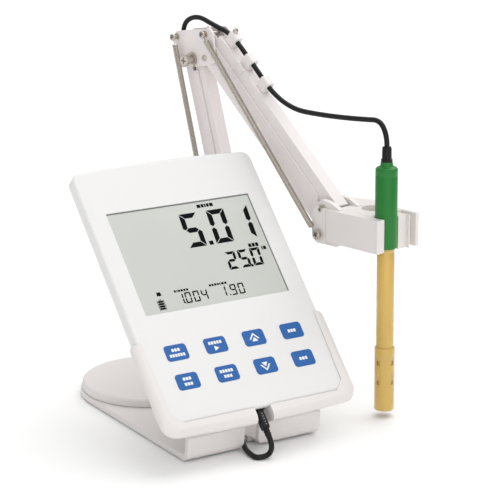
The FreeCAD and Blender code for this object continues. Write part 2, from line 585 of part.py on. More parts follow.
def span_solids(route, radius):
    """Path edges with tangent arcs, split at the names, swept with a circle."""
    points, marks = [], []
    for item in route:
        if isinstance(item, str):
            marks.append((len(points), item))
        else:
            points.append(item)
    edges, start = [], points[0]
    for i in range(1, len(points) - 1):
        before = points[i] - points[i - 1]
        after = points[i + 1] - points[i]
        turn = before.getAngle(after)
        run = min(before.Length, after.Length)
        bend = 0.45 * run / math.tan(turn / 2)
        set_back = 0.45 * run
        a = points[i] - before.normalize() * set_back
        b = points[i] + after.normalize() * set_back
        inward = (a - points[i]).normalize() + (b - points[i]).normalize()
        centre = points[i] + inward.normalize() * (bend / math.cos(turn / 2))
        middle = centre + (points[i] - centre).normalize() * bend
        print("cable bend %2d radius %6.1f turn %5.1f run %5.1f"
              % (i, bend, math.degrees(turn), run))
        edges.append((i, Part.LineSegment(start, a).toShape()))
        edges.append((i, Part.Arc(a, middle, b).toShape()))
        start = b
    edges.append((len(points) - 1, Part.LineSegment(start, points[-1]).toShape()))
    groups, current, pending = [], [], list(marks)
    for index, edge in edges:
        straight = edge.Curve.TypeId == "Part::GeomLine"
        if pending and straight and index == pending[0][0]:
            a, b = edge.Vertexes[0].Point, edge.Vertexes[1].Point
            half = (a + b) * 0.5
            current.append(Part.LineSegment(a, half).toShape())
            groups.append((pending.pop(0)[1], current))
            current = [Part.LineSegment(half, b).toShape()]
            continue
        current.append(edge)
    groups.append(("cable_base_span", current))
    for name, members in groups:
        wire = Part.Wire(members)
        first = members[0]
        tangent = (first.Vertexes[1].Point - first.Vertexes[0].Point).normalize()
        ring = Part.Wire([Part.Circle(first.Vertexes[0].Point, tangent, radius).toShape()])
        solid = wire.makePipeShell([ring], True, False)
        ideal = math.pi * radius ** 2 * wire.Length
        print("%s length %.1f volume %.0f of %.0f" % (name, wire.Length, solid.Volume, ideal))
        made = doc.addObject("Part::Feature", name)
        made.Label = name
        made.Shape = solid
        NODES[name] = made


span_solids(ROUTE, DIM["cable_radius"])

# ---- small pieces of the meter ------------------------------------------------------------------
group("meter_screws", screws)
group("charge_contacts", contacts)

doc.recompute()

# screws and contacts sit in bored seats
for name, tools in (("meter_rear_shell", screws + contacts), ("meter_tray", contacts + [hollow])):
    base = NODES[name]
    seat = doc.addObject("Part::MultiFuse", name + "_seats")
    seat.Shapes = tools
    bored = doc.addObject("Part::Cut", name + "_bored")
    bored.Base, bored.Tool = base, seat
    bored.Label = name
    base.Label = name + "_blank"
    bored.Label = name
    NODES[name] = bored
doc.recompute()

faults = []
for item in doc.Objects:
    if "Invalid" in item.State or "Error" in item.State:
        faults.append("%s %s" % (item.Name, item.State))
for name, item in NODES.items():
    shape = item.Shape
    if shape.isNull() or not shape.isValid() or not shape.Solids:
        faults.append("%s has no valid solid" % name)
if faults:
    raise RuntimeError("; ".join(faults))

os.makedirs("parts", exist_ok=True)
for name, item in NODES.items():
    item.Shape.exportStep(os.path.join("parts", name + ".step"))
    print("%-26s solids %2d volume %9.1f" % (name, len(item.Shape.Solids), item.Shape.Volume))
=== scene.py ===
"""Bench meter in its cradle, with the electrode arm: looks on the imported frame."""
import json
import math
import bmesh
import bpy
from mathutils import Matrix, Vector


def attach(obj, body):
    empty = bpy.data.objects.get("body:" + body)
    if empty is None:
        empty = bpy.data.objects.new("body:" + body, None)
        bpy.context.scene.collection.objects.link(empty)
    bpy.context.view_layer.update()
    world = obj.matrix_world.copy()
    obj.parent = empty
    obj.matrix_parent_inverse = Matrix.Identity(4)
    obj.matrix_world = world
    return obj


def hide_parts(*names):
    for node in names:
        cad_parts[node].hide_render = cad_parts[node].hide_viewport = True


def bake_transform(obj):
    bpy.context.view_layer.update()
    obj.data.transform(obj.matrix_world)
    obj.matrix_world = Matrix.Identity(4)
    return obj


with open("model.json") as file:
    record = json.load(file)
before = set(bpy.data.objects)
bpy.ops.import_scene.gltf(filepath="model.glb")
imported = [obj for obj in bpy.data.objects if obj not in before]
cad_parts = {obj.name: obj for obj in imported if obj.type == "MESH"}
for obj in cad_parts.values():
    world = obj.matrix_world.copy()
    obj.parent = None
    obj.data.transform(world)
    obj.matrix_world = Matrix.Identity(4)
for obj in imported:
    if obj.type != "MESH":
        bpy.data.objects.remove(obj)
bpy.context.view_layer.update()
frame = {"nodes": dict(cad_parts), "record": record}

MM = 0.001
BODY_OF = {n: b for b, nodes in frame["record"]["behaviour"]["bodies"].items() for n in nodes}
SLOT_OF = {s["node"]: s["material_slot"] for s in frame["record"]["subparts"]}
DOCK, ELBOW, TOP_BAR, HOLDER, PROBE = "dock", "elbow", "upper_top", "holder", "probe"


def turn(angle, axis):
    return Matrix.Rotation(math.radians(angle), 4, axis)


def move(x, y, z):
    return Matrix.Translation((x * MM, y * MM, z * MM))


# METER's frame lies in the meter's face, with +Y up the face. ARM's frame has its Z on the probe's
# axis and its -X toward the post. TOP's frame starts at the elbow and has its X down the upper link.
METER = move(0, -155.64, 25.83) @ turn(47, "X")
ARM = move(110.2, -131.3, 0) @ turn(-78, "Z")
# the elbow's four pivots, the holder's two, and the springs' posts, as places in ARM's XZ plane
ELBOW_TOP, ELBOW_LOW = (-169.2, 247.45), (-170.2, 230.2)
ELBOW_FRONT, ELBOW_REAR = (-182.9, 227.8), (-190.5, 226.5)
HOLDER_TOP, HOLDER_LOW = (-48.6, 140.4), (-49.6, 123.15)
REAR_POST, LOW_POST, HOLDER_POST = (-199.5, 242.4), (-144, 42), (-51.5, 123.6)
PLATE_FACE = 9.0
JACK_DEPTH = 6
UPPER_LENGTH, LINK_HALF = 161.258, 5.2
TOP = ARM @ move(ELBOW_TOP[0], 0, ELBOW_TOP[1]) @ turn(41.594, "Y")


def arm_point(s, z, far=0.0):
    return ARM @ Vector((s * MM, far * MM, z * MM))


# ---- materials ----------------------------------------------------------------------------
def node_of(tree, kind, **inputs):
    made = tree.nodes.new(kind)
    for key, value in inputs.items():
        made.inputs[key.replace("_", " ")].default_value = value
    return made


def finish_of(name, color, rough=0.4, spread=0.05, grain=1800.0, bump=0.05, shade=0.04,
              metal=0.0, coat=0.0, coat_rough=0.1, clear=0.0, sub=0.0, gleam=0.5):
    """A moulded, coated or metal surface: fine bump, uneven gloss and a slight drift of tone."""
    mat = bpy.data.materials.new(name)
    mat.use_nodes = True
    tree = mat.node_tree
    link = tree.links.new
    shader = tree.nodes["Principled BSDF"]
    source = tree.nodes.new("ShaderNodeTexCoord").outputs["Object"]
    broad = node_of(tree, "ShaderNodeTexNoise", Scale=22.0, Detail=3.0)
    fine = node_of(tree, "ShaderNodeTexNoise", Scale=grain, Detail=2.0)
    link(source, broad.inputs["Vector"])
    link(source, fine.inputs["Vector"])
    tone = tree.nodes.new("ShaderNodeMix")
    tone.data_type = "RGBA"
    dark = [max(0.0, c * (1 - shade)) for c in color]
    tone.inputs["A"].default_value = (*dark, 1)
    tone.inputs["B"].default_value = (*[min(1.0, c * (1 + shade * 0.5)) for c in color], 1)
    link(broad.outputs["Fac"], tone.inputs["Factor"])
    link(tone.outputs["Result"], shader.inputs["Base Color"])
    gloss = node_of(tree, "ShaderNodeMapRange")
    gloss.inputs["To Min"].default_value = max(0.02, rough - spread)
    gloss.inputs["To Max"].default_value = min(1.0, rough + spread)
    link(broad.outputs["Fac"], gloss.inputs["Value"])
    link(gloss.outputs["Result"], shader.inputs["Roughness"])
    lift = tree.nodes.new("ShaderNodeBump")
    lift.inputs["Strength"].default_value = bump
    lift.inputs["Distance"].default_value = 0.0001
    link(fine.outputs["Fac"], lift.inputs["Height"])
    link(lift.outputs["Normal"], shader.inputs["Normal"])
    shader.inputs["Metallic"].default_value = metal
    shader.inputs["Coat Weight"].default_value = coat
    shader.inputs["Coat Roughness"].default_value = coat_rough
    shader.inputs["Specular IOR Level"].default_value = gleam
    shader.inputs["Transmission Weight"].default_value = clear
    if sub:
        shader.inputs["Subsurface Weight"].default_value = sub
        shader.inputs["Subsurface Radius"].default_value = (0.004, 0.0025, 0.001)
    return mat


MAT = {
    "meter_white": finish_of("meter_white", (0.79, 0.785, 0.78), 0.34, 0.04, 1400, 0.03, 0.02,
                             coat=0.15, coat_rough=0.2),
    "cradle_white": finish_of("cradle_white", (0.78, 0.745, 0.73), 0.4, 0.05, 1600, 0.06, 0.03,
                              coat=0.1),
    "arm_white": finish_of("arm_white", (0.85, 0.795, 0.79), 0.42, 0.07, 2600, 0.16, 0.04),
    "holder_white": finish_of("holder_white", (0.8, 0.755, 0.735), 0.42, 0.05, 1900, 0.07, 0.03),
    "key_blue": finish_of("key_blue", (0.002, 0.105, 0.38), 0.4, 0.05, 2500, 0.05, 0.08),
    "lcd_grey": finish_of("lcd_grey", (0.56, 0.575, 0.54), 0.24, 0.03, 300, 0.005, 0.05, coat=0.3,
                          coat_rough=0.05),
    "board_green": finish_of("board_green", (0.03, 0.16, 0.06), 0.5, 0.1, 900, 0.1, 0.2),
    "steel": finish_of("steel", (0.56, 0.515, 0.46), 0.28, 0.1, 1500, 0.06, 0.12, metal=1.0),
    "black_rubber": finish_of("black_rubber", (0.006, 0.0055, 0.006), 0.45, 0.08, 1500, 0.12, 0.25,
                              gleam=0.3),
    "probe_green": finish_of("probe_green", (0.008, 0.19, 0.022), 0.36, 0.05, 1700, 0.08, 0.08,
                             coat=0.05, coat_rough=0.2, gleam=0.4),
    "probe_yellow": finish_of("probe_yellow", (0.82, 0.56, 0.14), 0.22, 0.04, 500, 0.02, 0.08,
                              clear=0.25, sub=0.35, coat=0.3, coat_rough=0.08),
    "black_plastic": finish_of("black_plastic", (0.008, 0.008, 0.009), 0.42, 0.08, 1500, 0.1, 0.2,
                               gleam=0.3),
    "cell_grey": finish_of("cell_grey", (0.2, 0.21, 0.23), 0.6, 0.1, 900, 0.1, 0.15),
}
INK = finish_of("display_ink", (0.004, 0.004, 0.005), 0.6, 0.05, 900, 0.01, 0.1, gleam=0.05)
WHITE_INK = finish_of("key_print", (0.86, 0.87, 0.88), 0.4, 0.04, 2200, 0.03, 0.02)
# painted shade: dark grey for a strip along the display window's top and right edges, standing in for
# the recess's shadow
PAINTED_RECESS_SHADE = finish_of("display_edge_shade", (0.16, 0.165, 0.16), 0.5, 0.05, 900, 0.01, 0.1)
GRIP_DOT = finish_of("grip_dot", (0.3, 0.3, 0.3), 0.5)
# painted shade: near-black for the cross recesses of the screws and the knob, drawn as dark cross
# blocks instead of shaded hollows
PAINTED_CROSS_SHADE = finish_of("cross_recess_painted_shade", (0.06, 0.055, 0.05), 0.6, 0.1, 900, 0.05, 0.2)

for name, obj in frame["nodes"].items():
    obj.data.materials.clear()
    obj.data.materials.append(MAT[SLOT_OF[name]])


# ---- mesh helpers -------------------------------------------------------------------------
def object_of(name, mesh_or_bm, matrix=None, material=None, smooth=35):
    """A new object from mesh data given in its frame's metres."""
    if isinstance(mesh_or_bm, bmesh.types.BMesh):
        data = bpy.data.meshes.new(name)
        mesh_or_bm.to_mesh(data)
        mesh_or_bm.free()
    else:
        data = mesh_or_bm
    if matrix is not None:
        data.transform(matrix)
    if smooth:
        data.shade_smooth()
        data.set_sharp_from_angle(angle=math.radians(smooth))
    else:
        data.shade_flat()
    made = bpy.data.objects.new(name, data)
    bpy.context.scene.collection.objects.link(made)
    if material is not None:
        data.materials.clear()
        data.materials.append(material)
    return made


def place(obj, node):
    """The piece rides with the node's body and stands for the node."""
    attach(obj, BODY_OF[node])
    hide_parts(node)


def add_on(obj, body):
    """The piece rides with the body and adds detail without standing for a node."""
    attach(obj, body)


def soften(bm, width):
    """Breaks every edge of a small block."""
    bmesh.ops.bevel(bm, geom=bm.edges[:], offset=width * MM, segments=2, affect="EDGES",
                    clamp_overlap=True)


def refine(node, width):
    """The node's own faces with softly broken edges."""
    source = frame["nodes"][node].data.copy()
    bm = bmesh.new()
    bm.from_mesh(source)
    bpy.data.meshes.remove(source)
    bmesh.ops.remove_doubles(bm, verts=bm.verts, dist=1e-6)
    bmesh.ops.dissolve_limit(bm, angle_limit=math.radians(1.0), verts=bm.verts, edges=bm.edges)
    made = object_of(node + "_skin", bm, None, MAT[SLOT_OF[node]], smooth=0)
    edge = made.modifiers.new("edge", "BEVEL")
    edge.width = width * MM
    edge.segments = 2
    edge.limit_method = "ANGLE"
    edge.angle_limit = math.radians(32)
    edge.use_clamp_overlap = True
    edge.miter_outer = "MITER_ARC"
    weighted = made.modifiers.new("flat_faces", "WEIGHTED_NORMAL")
    weighted.keep_sharp = True
    made.data.shade_smooth()
    dg = bpy.context.evaluated_depsgraph_get()
    data = bpy.data.meshes.new_from_object(made.evaluated_get(dg))
    made.modifiers.clear()
    made.data = data
    place(made, node)


def lathe(name, profile, matrix, material, sides=48, smooth=35):
    """Turns (radius, height) pairs about Z."""
    bm = bmesh.new()
    rings = []
    for r, z in profile:
        if r < 1e-6:
            rings.append([bm.verts.new((0, 0, z * MM))])
            continue
        ring = []
        for i in range(sides):
            a = 2 * math.pi * i / sides
            ring.append(bm.verts.new((r * MM * math.cos(a), r * MM * math.sin(a), z * MM)))
        rings.append(ring)
    for a, b in zip(rings, rings[1:]):
        for i in range(sides):
            j = (i + 1) % sides
            if len(a) == 1 and len(b) > 1:
                bm.faces.new((a[0], b[j], b[i]))
            elif len(b) == 1 and len(a) > 1:
                bm.faces.new((a[i], a[j], b[0]))
            elif len(a) > 1:
                bm.faces.new((a[i], a[j], b[j], b[i]))
    bmesh.ops.recalc_face_normals(bm, faces=bm.faces)
    return object_of(name, bm, matrix, material, smooth)


def tube_mesh(points, radius, sides=14):
    """A tube whose ring centres are the points, closed at both ends."""
    bm = bmesh.new()
    rings = []
    normal = None
    for i, p in enumerate(points):
        a = points[max(0, i - 1)]
        b = points[min(len(points) - 1, i + 1)]
        tangent = (b - a).normalized()
        if normal is None:
            normal = tangent.orthogonal().normalized()
        normal = (normal - tangent * normal.dot(tangent)).normalized()
        side = tangent.cross(normal)
        rings.append([bm.verts.new(p + (normal * math.cos(2 * math.pi * k / sides)
                                        + side * math.sin(2 * math.pi * k / sides)) * radius)
                      for k in range(sides)])
    for a, b in zip(rings, rings[1:]):
        for k in range(sides):
            j = (k + 1) % sides
            bm.faces.new((a[k], a[j], b[j], b[k]))
    bm.faces.new(list(reversed(rings[0])))
    bm.faces.new(rings[-1])
    bmesh.ops.recalc_face_normals(bm, faces=bm.faces)
    return bm


def prism(bm, outline, low, high):
    """A prism over an XY outline, from low to high, all in mm."""
    bottom = [bm.verts.new((x * MM, y * MM, low * MM)) for x, y in outline]
    top = [bm.verts.new((x * MM, y * MM, high * MM)) for x, y in outline]
    count = len(outline)
    bm.faces.new(list(reversed(bottom)))
    bm.faces.new(top)
    for i in range(count):
        j = (i + 1) % count
        bm.faces.new((bottom[i], bottom[j], top[j], top[i]))


def rounded(cx, cy, wide, high, radius, steps=6):
    """A rounded rectangle's outline."""
    out = []
    for qx, qy, start in ((1, 1, 0), (-1, 1, 90), (-1, -1, 180), (1, -1, 270)):
        for i in range(steps + 1):
            a = math.radians(start + 90 * i / steps)
            out.append((cx + qx * (wide / 2 - radius) + radius * math.cos(a),
                        cy + qy * (high / 2 - radius) + radius * math.sin(a)))
    return out


# ---- camera and light ---------------------------------------------------------------------
# the surround's brightness at the horizon and at the zenith
SKY_LOW, SKY_HIGH = 0.34, 0.86


def camera():
    az, el, roll = math.radians(-31.42), math.radians(15.10), math.radians(-0.40)
    back = Vector((math.sin(az) * math.cos(el), -math.cos(az) * math.cos(el), math.sin(el)))
    flat = Vector((math.cos(az), math.sin(az), 0))
    up = back.cross(flat)
    right = math.cos(roll) * flat + math.sin(roll) * up
    over = -math.sin(roll) * flat + math.cos(roll) * up
    data = bpy.data.cameras.new("camera")
    data.lens, data.sensor_width = 144.0, 36.0
    data.clip_start, data.clip_end = 0.05, 20.0
    made = bpy.data.objects.new("camera", data)
    pose = Matrix((right, over, back)).transposed().to_4x4()
    pose.translation = Vector((-0.6484, -1.19706, 0.47111))
    made.matrix_world = pose
    bpy.context.scene.collection.objects.link(made)
    bpy.context.scene.camera = made


def soft_sun(name, toward, strength, spread, color=(1, 1, 1)):
    """A broad, even light: toward points from the object to the light."""
    data = bpy.data.lights.new(name, "SUN")
    data.energy = strength
    data.angle = math.radians(spread)
    data.color = color
    made = bpy.data.objects.new(name, data)
    made.rotation_euler = Vector(toward).to_track_quat("Z", "Y").to_euler()
    bpy.context.scene.collection.objects.link(made)


def stage():
    floor = bpy.data.meshes.new("floor")
    reach = 6.0
    floor.from_pydata([(-reach, -reach, 0), (reach, -reach, 0), (reach, reach, 0), (-reach, reach, 0)],
                      [], [(0, 1, 2, 3)])
    obj = bpy.data.objects.new("floor", floor)
    bpy.context.scene.collection.objects.link(obj)
    obj.data.materials.append(finish_of("floor_paper", (0.96, 0.96, 0.96), 0.8, 0.05, 300, 0.0, 0.0))
    world = bpy.context.scene.world or bpy.data.worlds.new("world")
    bpy.context.scene.world = world
    world.use_nodes = True
    tree = world.node_tree
    sky = tree.nodes["Background"]
    place = tree.nodes.new("ShaderNodeTexCoord")
    split = tree.nodes.new("ShaderNodeSeparateXYZ")
    ramp = tree.nodes.new("ShaderNodeValToRGB")
    ramp.color_ramp.elements[0].color = (SKY_LOW, SKY_LOW, SKY_LOW, 1)
    ramp.color_ramp.elements[1].color = (SKY_HIGH, SKY_HIGH, SKY_HIGH, 1)
    tree.links.new(place.outputs["Generated"], split.inputs[0])
    tree.links.new(split.outputs["Z"], ramp.inputs["Fac"])
    tree.links.new(ramp.outputs["Color"], sky.inputs["Color"])
    sky.inputs["Strength"].default_value = 1.0
    soft_sun("key", (0.55, 0.25, 1.0), 1.35, 60, (1, 0.995, 0.985))
    soft_sun("fill", (-0.35, -1.0, 0.55), 0.8, 70)
    bpy.context.scene.view_settings.view_transform = "Standard"


camera()
stage()

# ---- cable --------------------------------------------------------------------------------
CABLE_RADIUS = 1.8
TAIL = METER @ Vector((0, -9.8 * MM, -JACK_DEPTH * MM))
ROUTE = [
    arm_point(0, 190), arm_point(0, 197), arm_point(-6.4, 206.8), arm_point(-20, 205.3),
    arm_point(-42, 203.6), arm_point(-66, 202.6), arm_point(-88, 202.8), arm_point(-109, 211),
    arm_point(-130.2, 230.7), arm_point(-151.5, 249), arm_point(-169, 253),
    arm_point(-187.5, 258.6), arm_point(-203, 251.5), arm_point(-201.6, 235),
    arm_point(-196.8, 224.8), arm_point(-182.6, 180), arm_point(-167.2, 124),
    arm_point(-152.9, 78), arm_point(-147.5, 44), arm_point(-149, 27), arm_point(-158, 14.6),
    Vector((0.062, 0.030, 0.0132)), Vector((0.038, 0.024, 0.013)), Vector((0.020, 0.005, 0.013)),
    Vector((0.012, -0.022, 0.0131)), Vector((0.010, -0.052, 0.0136)),
    Vector((0.013, -0.067, 0.0076)), Vector((0.009, -0.092, 0.0069)),
    Vector((0.002, -0.110, 0.0069)), Vector((-0.003, -0.123, 0.0072)),
    Vector((-0.005, -0.1325, 0.005)), Vector((-0.0082, -0.141, 0.0026)),
    Vector((-0.0094, -0.150, 0.0019)), Vector((-0.0096, -0.157, 0.0019)),
    Vector((-0.0042, -0.1586, 0.0019)), Vector((0.0008, -0.1582, 0.0032)),
    METER @ Vector((0, -15.3 * MM, -JACK_DEPTH * MM)), TAIL,
]
# each piece runs from one link to the next: (name, where it ends along the route's points, the body
# that it starts on, the body that it ends on, the nodes that it stands for)
SPANS = [
    ("cable_to_probe", 4.5, PROBE, HOLDER, ["cable_probe_loop"]),
    ("cable_droop", 8.5, HOLDER, TOP_BAR, ["cable_droop_span"]),
    ("cable_over_elbow", 11.5, TOP_BAR, ELBOW, ["cable_upper_span"]),
    ("cable_behind_elbow", 15.5, ELBOW, "lower_rear", ["cable_elbow_span"]),
    ("cable_down_arm", 19.0, "lower_rear", "post", ["cable_lower_span"]),
    ("cable_at_foot", 22.5, "post", "swivel", ["cable_foot_span"]),
    ("cable_on_disc", 27.0, "swivel", DOCK, ["cable_disc_span"]),
    ("cable_to_plug", None, DOCK, None, ["cable_base_span"]),
]


def spline_points():
    """The route's smooth line, read from its NURBS spline."""
    curve = bpy.data.curves.new("route", "CURVE")
    curve.dimensions = "3D"
    curve.resolution_u = 16
    spline = curve.splines.new("NURBS")
    spline.points.add(len(ROUTE) - 1)
    for point, spot in zip(spline.points, ROUTE):
        point.co = (*spot, 1)
    spline.order_u = 3
    spline.use_endpoint_u = True
    obj = bpy.data.objects.new("route", curve)
    bpy.context.scene.collection.objects.link(obj)
    line = bpy.data.meshes.new_from_object(obj.evaluated_get(
        bpy.context.evaluated_depsgraph_get()))
    out = [v.co.copy() for v in line.vertices]
    bpy.data.objects.remove(obj)
    bpy.data.curves.remove(curve)
    bpy.data.meshes.remove(line)
    return out


def cable():
    line = spline_points()
    start = 0
    for name, stop, first, second, nodes in SPANS:
        if stop is None:
            end = len(line) - 1
        else:
            low = ROUTE[int(stop)]
            goal = low.lerp(ROUTE[int(stop) + 1], stop - int(stop))
            end = min(range(start + 4, len(line)), key=lambda i: (line[i] - goal).length)
        points = line[start:end + 1]
        bm = tube_mesh(points, CABLE_RADIUS * MM)
        made = object_of(name, bm, None, MAT["black_rubber"], smooth=60)
        if second:
            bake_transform(made)
        else:
            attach(made, first)
        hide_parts(*nodes)
        start = end


cable()


# ---- springs ------------------------------------------------------------------------------
def coil_spring(name, start, end):
    """A close-wound extension spring with a straight hook at each end."""
    a, b = arm_point(start[0], start[1], -start[2]), arm_point(end[0], end[1], -end[2])
    axis = (b - a).normalized()
    side = axis.orthogonal().normalized()
    other = axis.cross(side)
    wire, mean, lead = 0.42 * MM, 1.72 * MM, 5.5 * MM
    coiled = (b - a).length - 2 * lead
    pitch, per = 0.93 * MM, 10
    turns = int(coiled / pitch)
    points = [a, a + axis * (lead - 1.5 * MM)]
    for i in range(turns * per + 1):
        angle = 2 * math.pi * i / per
        points.append(a + axis * (lead + coiled * i / (turns * per))
                      + (side * math.cos(angle) + other * math.sin(angle)) * mean)
    points += [b - axis * (lead - 1.5 * MM), b]
    bm = tube_mesh(points, wire, sides=5)
    made = object_of(name, bm, None, MAT["steel"], smooth=60)
    half = a.lerp(b, 0.5)
    return made, a, half, b


def halves(made, at_point, axis):
    """Splits a piece at a plane into two objects."""
    out = []
    for keep_low in (True, False):
        bm = bmesh.new()
        bm.from_mesh(made.data)
        geometry = bm.verts[:] + bm.edges[:] + bm.faces[:]
        bmesh.ops.bisect_plane(bm, geom=geometry, plane_co=at_point, plane_no=axis,
                               clear_outer=keep_low, clear_inner=not keep_low)
        out.append(object_of(made.name + ("_a" if keep_low else "_b"), bm, None, MAT["steel"], 60))
    bpy.data.objects.remove(made)
    return out


def springs():
    jobs = (("lower_spring", (*REAR_POST, 12.6), (*LOW_POST, 13.3), (ELBOW, "lower_rear", "post"),
             "lower_arm_spring"),
            ("upper_spring", (*ELBOW_TOP, 11.5), (*HOLDER_POST, 15.8), (ELBOW, TOP_BAR, HOLDER),
             "upper_arm_spring"))
    for name, start, end, bodies, node in jobs:
        made, a, half, b = coil_spring(name, start, end)
        one, two = halves(made, half, (b - a).normalized())
        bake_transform(one)
        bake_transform(two)
        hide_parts(node)


springs()

# ---- shells and links with broken edges -----------------------------------------------------
for node, width in (("meter_front_shell", 0.3), ("meter_rear_shell", 0.4), ("meter_tray", 0.5),
                    ("cradle_base", 0.6), ("swivel_plate", 0.3), ("shoulder_bracket", 0.4),
                    ("electrode_holder", 0.5), ("elbow_plate_near", 0.35),
                    ("elbow_plate_far", 0.35), ("lower_arm_rear_channel", 0.35),
                    ("lower_arm_front_channel", 0.35), ("upper_arm_lower_channel", 0.35),
                    ("upper_arm_upper_channel", 0.35), ("power_button", 0.3),
                    ("power_inlet", 0.5), ("outrigger_foot", 0.4)):
    refine(node, width)

# ---- display ------------------------------------------------------------------------------
LCD_LEFT, LCD_TOP, LCD_WIDE, LCD_HIGH = -55.4, 166.0, 110.8, 78.4
GLASS = -0.8
SEGMENTS = {"0": "abcdef", "1": "bc", "2": "abged", "4": "fgbc", "5": "afgcd", "9": "abcdfg"}


def strokes(wide, high, thick):
    """The seven segments of a digit as outlines, from its lower left corner."""
    t, g, mid = thick, thick * 0.09, high / 2
    x0, x1, h = 0.0, wide, t / 2
    return {
        "a": [(x0 + g, high), (x1 - g, high), (x1 - t - g, high - t), (x0 + t + g, high - t)],
        "d": [(x0 + t + g, t), (x1 - t - g, t), (x1 - g, 0), (x0 + g, 0)],
        "g": [(x0 + h + g, mid), (x0 + t + g, mid + h), (x1 - t - g, mid + h), (x1 - h - g, mid),
              (x1 - t - g, mid - h), (x0 + t + g, mid - h)],
        "f": [(x0, high - g), (x0 + t, high - t - g), (x0 + t, mid + h + g), (x0 + h, mid + g),
              (x0, mid + h)],
        "b": [(x1, high - g), (x1, mid + h), (x1 - h, mid + g), (x1 - t, mid + h + g),
              (x1 - t, high - t - g)],
        "e": [(x0, g), (x0, mid - h), (x0 + h, mid - g), (x0 + t, mid - h - g), (x0 + t, t + g)],
        "c": [(x1, g), (x1 - t, t + g), (x1 - t, mid - h - g), (x1 - h, mid - g), (x1, mid - h)],
    }


def flat_shapes(name, outlines, low, material, high=None):
    """Thin printed shapes on the meter's face."""
    bm = bmesh.new()
    for outline in outlines:
        prism(bm, outline, low, low + 0.03 if high is None else high)
    bmesh.ops.recalc_face_normals(bm, faces=bm.faces)
    obj = object_of(name, bm, METER, material, smooth=0)
    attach(obj, DOCK)
    return obj


def lcd_at(a, b):
    """A point of the display from its fractions across and down."""
    return LCD_LEFT + a * LCD_WIDE, LCD_TOP - b * LCD_HIGH


SLANT = 0.06


def digits(text, a, b, wide, high, thick, pitch):
    """Outlines of a row of digits whose first cell's top left is at (a, b)."""
    x0, y1 = lcd_at(a, b)
    out = []
    for i, letter in enumerate(text):
        shape = strokes(wide, high, thick)
        for key in SEGMENTS.get(letter, ""):
            out.append([(x0 + i * pitch + x + SLANT * (y - high), y1 - high + y)
                        for x, y in shape[key]])
    return out


def bar(x0, y0, x1, y1):
    return [(x0, y0), (x1, y0), (x1, y1), (x0, y1)]


def blocks(x, y, widths, high, gap=0.45):
    """A row of small blocks centred on x, y, standing for a word."""
    total = sum(widths) + gap * (len(widths) - 1)
    at, out = x - total / 2, []
    for wide in widths:
        out.append(bar(at, y - high / 2, at + wide, y + high / 2))
        at += wide + gap
    return out


def display():
    """Three readings, blocks for their captions, a battery sign and a dark strip of painted shade
    along the window's top and right edges.
    """
    ink = []
    for letter, across_at in (("5", 0.472), ("0", 0.665), ("1", 0.833)):
        ink += digits(letter, across_at, 0.105, 13.8, 26.2, 3.7, 0)
    x, y = lcd_at(0.617, 0.44)
    ink.append(bar(x - 1.6, y, x + 1.6, y + 3.1))
    ink += digits("250", 0.674, 0.533, 7.8, 13.6, 2.05, 9.7)
    x, y = lcd_at(0.828, 0.71)
    ink.append(bar(x - 0.9, y, x + 0.9, y + 1.8))
    for whole, part, places in ((0.249, 0.301, "004"), (0.543, 0.615, "90")):
        ink += digits("1", whole, 0.842, 4.6, 8.2, 1.05, 0)
        ink += digits(places, part, 0.842, 4.6, 8.2, 1.05, 6.25)
        x, y = lcd_at(part, 0.943)
        ink.append(bar(x - 1.9, y, x - 0.9, y + 1.0))
    for a, b, widths, high in ((0.675, 0.052, (2.9, 2.0, 1.2, 2.0, 2.8), 2.6),
                               (0.892, 0.505, (2.3, 2.3, 2.3), 2.8), (0.955, 0.548, (0.9, 2.2), 2.6),
                               (0.29, 0.818, (1.5, 0.7, 1.6, 1.7, 1.5, 1.6), 1.6),
                               (0.545, 0.818, (1.6, 1.6, 1.7, 1.5, 0.8, 2.1, 1.7), 1.6),
                               (0.137, 0.818, (3.2,), 2.8)):
        x, y = lcd_at(a, b)
        ink += blocks(x, y, widths, high)
    x, y = lcd_at(0.13, 0.92)
    for k in range(4):
        ink.append(bar(x - 2, y - 3.6 + 1.75 * k, x + 2, y - 2.1 + 1.75 * k))
    ink.append(bar(x - 2.6, y - 4.2, x - 2.25, y + 3.6))
    ink.append(bar(x + 2.25, y - 4.2, x + 2.6, y + 3.6))
    ink.append(bar(x - 0.9, y + 3.5, x + 0.9, y + 4.1))
    made = flat_shapes("display_figures", ink, GLASS, INK)
    right, low = LCD_LEFT + LCD_WIDE, LCD_TOP - LCD_HIGH
    # painted shade: a dark strip along the window's top and right edges, where the recess casts its
    # shadow
    shade = [bar(LCD_LEFT, LCD_TOP - 0.9, right, LCD_TOP), bar(right - 0.7, low, right, LCD_TOP - 0.9)]
    flat_shapes("display_edge", shade, GLASS, PAINTED_RECESS_SHADE)


KEY_WIDE, KEY_HIGH, KEY_ROUND = 16.5, 11.5, 2.4
KEY_ACROSS, KEY_UP, LOW_KEYS = 29.6, 21.15, 37.2


